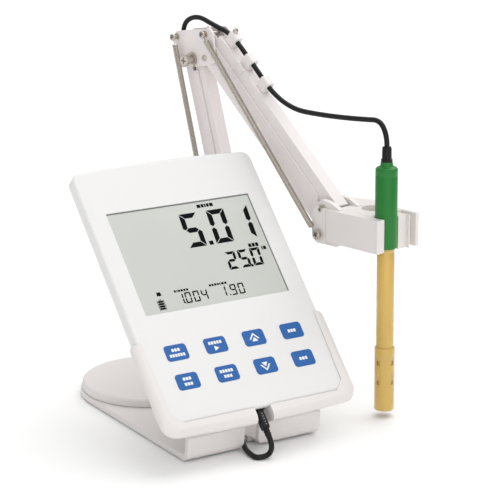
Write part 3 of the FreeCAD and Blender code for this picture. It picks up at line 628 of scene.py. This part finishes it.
def keys():
    """Blue keys with plain white symbols."""
    faces, print_, fills = [], [], []
    # the block widths of each captioned key's upper and lower line
    words = {(0, 0): ((1.7,) * 3, (1.7,) * 3), (0, 1): ((1.6,) * 5, (1.7,) * 3),
             (0, 3): (None, (1.7,) * 3), (1, 0): ((1.7,) * 3, (1.5,) * 6),
             (1, 1): ((1.6,) * 5, None), (1, 3): (None, (1.7,) * 3)}
    for line in (0, 1):
        for column in range(4):
            u, v = (column - 1.5) * KEY_ACROSS, LOW_KEYS + line * KEY_UP
            faces.append(rounded(u, v, KEY_WIDE, KEY_HIGH, KEY_ROUND))
            fills.append(bar(u - KEY_WIDE / 2, v - KEY_HIGH / 2, u + KEY_WIDE / 2, v + KEY_HIGH / 2))
            if (line, column) in words:
                top, low = words[(line, column)]
                if top is None:
                    print_ += blocks(u, v, low, 2.2)
                    continue
                print_ += blocks(u, v + 1.9, top, 2.1)
                if low:
                    print_ += blocks(u, v - 1.9, low, 2.1)
                else:
                    print_.append([(u - 1.6, v - 0.3), (u - 1.6, v - 4.0), (u + 1.9, v - 2.15)])
            else:
                # a chevron over a small arrow, up on one row and down on the other
                way = 1 if line else -1
                print_.append([(u - 2.3, v - 2.6 * way), (u + 2.3, v - 2.6 * way),
                               (u, v + 0.5 * way)][::way])
                print_.append([(u - 3.9, v - 1.0 * way), (u - 2.6, v - 1.0 * way), (u, v + 2.2 * way),
                               (u + 2.6, v - 1.0 * way), (u + 3.9, v - 1.0 * way),
                               (u, v + 3.7 * way)][::way])
    made = flat_shapes("key_faces", faces, 0.0, MAT["key_blue"], high=0.05)
    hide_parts("key_inlays")
    flat_shapes("key_grounds", fills, -0.49, MAT["meter_white"], high=-0.005)
    flat_shapes("key_symbols", print_, 0.05, WHITE_INK)


display()
keys()


# ---- fittings -----------------------------------------------------------------------------
def across(s, z, off):
    """A frame on the arm's near side: its +Z points at the viewer's side."""
    return ARM @ move(s, -off, z) @ turn(90, "X")


def cross_outline(long, thin):
    """A cross with arms of the given half length and half width."""
    return [(-long, -thin), (-thin, -thin), (-thin, -long), (thin, -long), (thin, -thin),
            (long, -thin), (long, thin), (thin, thin), (thin, long), (-thin, long),
            (-thin, thin), (-long, thin)]


def cross_screw(name, matrix, radius, height, body, node=None, spin=20):
    """A domed screw head whose cross recess is a dark cross of painted shade."""
    profile = [(radius, 0), (radius, height * 0.45)]
    for k in range(1, 6):
        a = math.pi / 2 * k / 5
        profile.append((radius * math.cos(a) * 0.98 + 0.001, height * (0.45 + 0.55 * math.sin(a))))
    profile[-1] = (0, height)
    head = lathe(name, [(0, 0)] + profile, matrix, MAT["steel"], sides=28)
    bm = bmesh.new()
    # the cross recess is a dark block standing out of the dome: its darkness is painted shade
    prism(bm, cross_outline(radius * 0.56, radius * 0.15), height * 0.7, height * 1.01 + 0.02)
    recess = object_of(name + "_cross", bm, matrix @ turn(spin, "Z"), PAINTED_CROSS_SHADE, smooth=0)
    for piece in (head, recess):
        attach(piece, body)
    if node:
        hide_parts(node)


def thumb_knob():
    """A knurled thumbscrew on a plain collar, with a dark cross of painted shade on its top."""
    teeth, bm = 36, bmesh.new()
    knob_at = across(*ELBOW_FRONT, 9.6)
    rings = []
    for r, z in ((0, 0), (5.0, 0), (5.0, 1.6), (3.0, 1.8), (3.0, 4.4), (3.6, 4.6), (4.1, 5.0),
                 (4.1, 7.9), (3.7, 8.4), (0, 8.5)):
        if r == 0:
            rings.append([bm.verts.new((0, 0, z * MM))])
            continue
        ring = []
        for i in range(teeth * 2):
            tooth = 0.16 if (i % 2 and 4.9 < z < 8.0) else 0.0
            a = math.pi * i / teeth
            ring.append(bm.verts.new(((r - tooth) * MM * math.cos(a),
                                      (r - tooth) * MM * math.sin(a), z * MM)))
        rings.append(ring)
    count = teeth * 2
    for a, b in zip(rings, rings[1:]):
        for i in range(count):
            j = (i + 1) % count
            if len(a) == 1:
                bm.faces.new((a[0], b[i], b[j]))
            elif len(b) == 1:
                bm.faces.new((a[i], a[j], b[0]))
            else:
                bm.faces.new((a[i], a[j], b[j], b[i]))
    bmesh.ops.recalc_face_normals(bm, faces=bm.faces)
    made = object_of("thumb_knob", bm, knob_at, MAT["steel"], smooth=30)
    place(made, "elbow_knob")
    bm = bmesh.new()
    # painted shade: a dark cross on the knob's top stands in for its shaded recess
    prism(bm, cross_outline(2.4, 0.35), 8.2, 8.56)
    cross = object_of("thumb_knob_cross", bm, knob_at, PAINTED_CROSS_SHADE, smooth=0)
    add_on(cross, "knob")


def elbow_fittings():
    """Spring studs and a rivet on the near plate, and rivets on the far one."""
    for name, point, neck in (("rear", REAR_POST, 3.4), ("front", ELBOW_TOP, 2.2)):
        stud = lathe("spring_stud_" + name, [(0, 0), (2.6, 0), (2.6, 0.9), (1.5, 1.2), (1.5, neck),
                                             (2.3, neck + 0.3), (2.3, neck + 0.8), (0, neck + 0.8)],
                     across(*point, PLATE_FACE), MAT["steel"], sides=28)
        add_on(stud, ELBOW)
        cross_screw("stud_screw_" + name, across(*point, 9.8 + neck), 2.6, 1.3, ELBOW, spin=25)
    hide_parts("elbow_spring_posts")
    rivet = lathe("elbow_rivet", [(0, 0), (2.3, 0), (2.3, 0.5), (1.9, 0.9), (0.9, 0.9), (0.7, 0.4),
                                  (0, 0.4)], across(*ELBOW_LOW, PLATE_FACE), MAT["steel"], sides=28)
    add_on(rivet, ELBOW)
    for i, p in enumerate((ELBOW_REAR, ELBOW_FRONT, ELBOW_LOW, ELBOW_TOP)):
        cap = lathe("far_rivet_%d" % i, [(0, 0), (2.4, 0), (2.2, 0.7), (0, 1.0)],
                    ARM @ move(p[0], PLATE_FACE, p[1]) @ turn(-90, "X"), MAT["steel"], sides=24)
        add_on(cap, ELBOW)


def holder_fittings():
    """The screw heads on the holder's near side, and the one on its top."""
    cross_screw("holder_screw_upper", across(*HOLDER_TOP, 13.7), 1.8, 1.0, HOLDER)
    cross_screw("holder_screw_lower", across(*HOLDER_LOW, 16.2), 3.1, 1.8, HOLDER, spin=35)
    neck = lathe("holder_screw_neck", [(0, 0), (1.7, 0), (1.7, 5.3), (0, 5.3)],
                 across(*HOLDER_LOW, 11.0), MAT["steel"], sides=20)
    add_on(neck, HOLDER)
    cross_screw("holder_screw_top", ARM @ move(-57, 15, 141.5), 3.0, 1.5, HOLDER,
                "holder_top_screw")


def base_fittings():
    """The low spring's stud, and the four screws under the tray."""
    low = lathe("low_spring_stud", [(0, 0), (2.4, 0), (2.4, 1.0), (1.4, 1.4), (1.4, 5.4),
                                    (2.4, 5.8), (2.4, 6.6), (0, 7.0)],
                across(*LOW_POST, PLATE_FACE), MAT["steel"], sides=24)
    place(low, "shoulder_spring_post")
    for i, (u, v) in enumerate(((-36, 24), (36, 24), (-36, 58), (36, 58))):
        cross_screw("tray_screw_%d" % i, METER @ move(u, v, -19.6) @ turn(180, "X"), 3.0, 1.6,
                    DOCK, "tray_screws" if i == 0 else None)


def side_plate():
    """The holder's near cheek, flush with its front wall."""
    outline = [(-43.4, 118.6), (-43.4, 141.4), (-51.5, 142.2)]
    for k in range(5):
        a = math.radians(100 + 20 * k)
        outline.append((-52.2 + 4.4 * math.cos(a), 137.8 + 4.4 * math.sin(a)))
    outline += [(-57.0, 122.0), (-55.6, 118.6), (-52.0, 116.2), (-46.0, 116.4)]
    bm = bmesh.new()
    prism(bm, outline, 10.9, 13.8)
    bmesh.ops.recalc_face_normals(bm, faces=bm.faces)
    soften(bm, 0.4)
    made = object_of("holder_side_plate", bm, ARM @ turn(90, "X"), MAT["holder_white"], 40)
    add_on(made, HOLDER)


def arm_end_lid():
    """Closes the upper link's open end above its holder pivot."""
    bm = bmesh.new()
    prism(bm, [(UPPER_LENGTH - 0.6, 5.95), (UPPER_LENGTH + 3.8, 5.95), (UPPER_LENGTH + 3.8, 2.5),
               (UPPER_LENGTH + 4.8, 2.5), (UPPER_LENGTH + 4.8, 6.4), (UPPER_LENGTH + 4.2, 7.0),
               (UPPER_LENGTH - 0.6, 7.0)], -LINK_HALF, LINK_HALF)
    bmesh.ops.recalc_face_normals(bm, faces=bm.faces)
    made = object_of("arm_end_lid", bm, TOP @ turn(90, "X"), MAT["arm_white"], smooth=0)
    add_on(made, TOP_BAR)


# the clips' places along the upper link, and the one of them with a tab down the link's side
CLIP_AT = (16.6, 37.9, 59.3)
TABBED_CLIP = 1


def clip_block(i, x):
    """A white snap block that carries the cable along the upper arm."""
    outline = [(-2.8, 7.05), (4.0, 7.05), (4.2, 9.2), (4.3, 14.8), (3.6, 16.2), (1.2, 16.4),
               (-2.4, 16.2), (-3.1, 14.8), (-3.0, 9.2)]
    outline_to_link = Matrix(((0, 0, 1, 0), (1, 0, 0, 0), (0, 1, 0, 0), (0, 0, 0, 1)))
    bm = bmesh.new()
    prism(bm, outline, -4.3, 4.3)
    bmesh.ops.recalc_face_normals(bm, faces=bm.faces)
    soften(bm, 0.45)
    made = object_of("cable_clip_%d" % i, bm, TOP @ move(x, 0, 0) @ outline_to_link,
                     MAT["holder_white"], 40)
    add_on(made, TOP_BAR)
    return made


def clip_tab(i, x):
    """A thin tab from a clip down the link's near side."""
    tab = bmesh.new()
    prism(tab, [(-4.0, 2.6), (4.0, 2.6), (4.0, 8.2), (-4.0, 8.2)], 5.35, 6.3)
    soften(tab, 0.25)
    side = object_of("clip_tab_%d" % i, tab, TOP @ move(x, 0, 0) @ turn(90, "X"),
                     MAT["holder_white"], 40)
    add_on(side, TOP_BAR)


def clips():
    for i, x in enumerate(CLIP_AT):
        made = clip_block(i, x)
        if i == 0:
            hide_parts("cable_clips")
        if i == TABBED_CLIP:
            clip_tab(i, x)
    cross_screw("clip_screw", TOP @ move(CLIP_AT[0] - 3.0, 1.0, 16.0), 2.0, 2.6, TOP_BAR)


thumb_knob()
elbow_fittings()
holder_fittings()
base_fittings()
side_plate()
arm_end_lid()
clips()


# ---- probe --------------------------------------------------------------------------------
def probe_body():
    """The cap, its strain relief and the tube under it."""
    cap = [(0, 120), (7.1, 120), (7.5, 120.5), (7.6, 121.2)]
    cap += [(7.6, 169.6), (7.5, 169.8), (7.5, 170.2), (7.6, 170.4), (7.6, 173.8)]
    for k in range(1, 7):
        a = math.pi / 2 * k / 6
        cap.append((5.2 + 2.4 * math.cos(a), 173.8 + 2.3 * math.sin(a)))
    cap += [(4.6, 176.5), (4.3, 177.0), (4.2, 178.9), (3.8, 179.5), (0, 179.5)]
    place(lathe("probe_cap_skin", cap, ARM, MAT["probe_green"], 64), "probe_cap")
    relief = [(0, 179.5), (3.9, 179.5), (3.9, 181.2), (3.3, 181.5), (3.2, 188.6), (2.9, 189.6),
              (1.9, 190), (0, 190)]
    place(lathe("probe_relief_skin", relief, ARM, MAT["black_rubber"], 40), "probe_strain_relief")
    tube = [(0, 14), (5.2, 14), (6.0, 14.8), (6.0, 56.4), (5.85, 56.6), (5.85, 57.2), (6.0, 57.4),
            (6.0, 116.5), (5.8, 116.8), (5.8, 117.6), (6.0, 117.9), (6.0, 121.5), (0, 121.5)]
    place(lathe("probe_tube_skin", tube, ARM, MAT["probe_yellow"], 56), "probe_tube")


def probe_sleeve():
    """The open sleeve over the cell, with two rows of vent windows."""
    sides, bm = 64, bmesh.new()
    windows = {(24.0, 27.2), (38.0, 41.2)}
    levels = [5, 5.6, 22.5, 24, 27.2, 36.5, 38, 41.2, 49.4, 50]
    radii = [6.5, 6.9] + [6.9] * 6 + [6.9, 6.5]
    rings = [[bm.verts.new((r * MM * math.cos(2 * math.pi * (i + 0.5) / sides),
                            r * MM * math.sin(2 * math.pi * (i + 0.5) / sides), z * MM))
              for i in range(sides)] for r, z in zip(radii, levels)]
    for k, (a, b) in enumerate(zip(rings, rings[1:])):
        for i in range(sides):
            open_ = (levels[k], levels[k + 1]) in windows and (
                min((i - c) % sides for c in (14, 30, 46, 62)) < 4)
            if not open_:
                j = (i + 1) % sides
                bm.faces.new((a[i], a[j], b[j], b[i]))
    made = object_of("probe_sleeve_skin", bm, ARM, MAT["probe_yellow"], 40)
    wall = made.modifiers.new("wall", "SOLIDIFY")
    wall.thickness = 0.8 * MM
    wall.offset = -1 if made.data.polygons[0].normal.dot(
        Vector(made.data.polygons[0].center) - arm_point(0, 5)) > 0 else 1
    place(made, "probe_sleeve")


def depth_marks():
    """Short printed marks up the tube's side toward the post."""
    marks = bmesh.new()
    for z, half in ((60, 2.2), (64, 1.4), (68, 1.4), (72, 1.4), (76, 2.2)):
        ring = []
        for i in range(9):
            a = math.radians(200 + (i - 4) * half * 2.4)
            ring.append(((6.02 * math.cos(a)) * MM, (6.02 * math.sin(a)) * MM))
        low = [marks.verts.new((x, y, z * MM)) for x, y in ring]
        high = [marks.verts.new((x, y, (z + 0.35) * MM)) for x, y in ring]
        for i in range(8):
            marks.faces.new((low[i], low[i + 1], high[i + 1], high[i]))
    add_on(object_of("depth_marks", marks, ARM, INK, 60), PROBE)


def plug():
    """Slim moulded plug with a column of grip dots and a short flanged tail."""
    axis = METER @ move(0, 9.3, -JACK_DEPTH) @ turn(90, "X")
    outline = rounded(0, 0, 5.2, 6.0, 1.6, 5)
    bm = bmesh.new()
    rings = []
    for z, k in ((-8.0, 0.5), (-0.1, 0.52), (0.0, 0.84), (0.5, 0.98), (12.2, 1.0), (13.2, 0.92),
                 (13.6, 0.7)):
        rings.append([bm.verts.new((x * k * MM, y * k * MM, z * MM)) for x, y in outline])
    count = len(outline)
    for a, b in zip(rings, rings[1:]):
        for i in range(count):
            j = (i + 1) % count
            bm.faces.new((a[i], a[j], b[j], b[i]))
    bm.faces.new(list(reversed(rings[0])))
    bm.faces.new(rings[-1])
    bmesh.ops.recalc_face_normals(bm, faces=bm.faces)
    place(object_of("plug_grip", bm, axis, MAT["black_plastic"], 40), "cable_plug")
    bm = bmesh.new()
    for row in range(5):
        centre = -3.2 - row * 1.9
        prism(bm, [(0.42 * math.cos(k * math.pi / 5), 0.42 * math.sin(k * math.pi / 5) + centre)
                   for k in range(10)], 2.96, 3.06)
    dots = object_of("plug_dots", bm, axis @ turn(-90, "X"), GRIP_DOT, smooth=0)
    add_on(dots, DOCK)
    tail = [(0, 13.4), (2.0, 13.4), (2.0, 14.5), (2.2, 14.6), (2.2, 15.4), (1.95, 15.5),
            (1.95, 16.6), (2.2, 16.7), (2.2, 17.5), (1.95, 17.6), (1.9, 19.1), (0, 19.1)]
    place(lathe("plug_relief_skin", tail, axis, MAT["black_rubber"], 32), "plug_strain_relief")


probe_body()
probe_sleeve()
depth_marks()
plug()
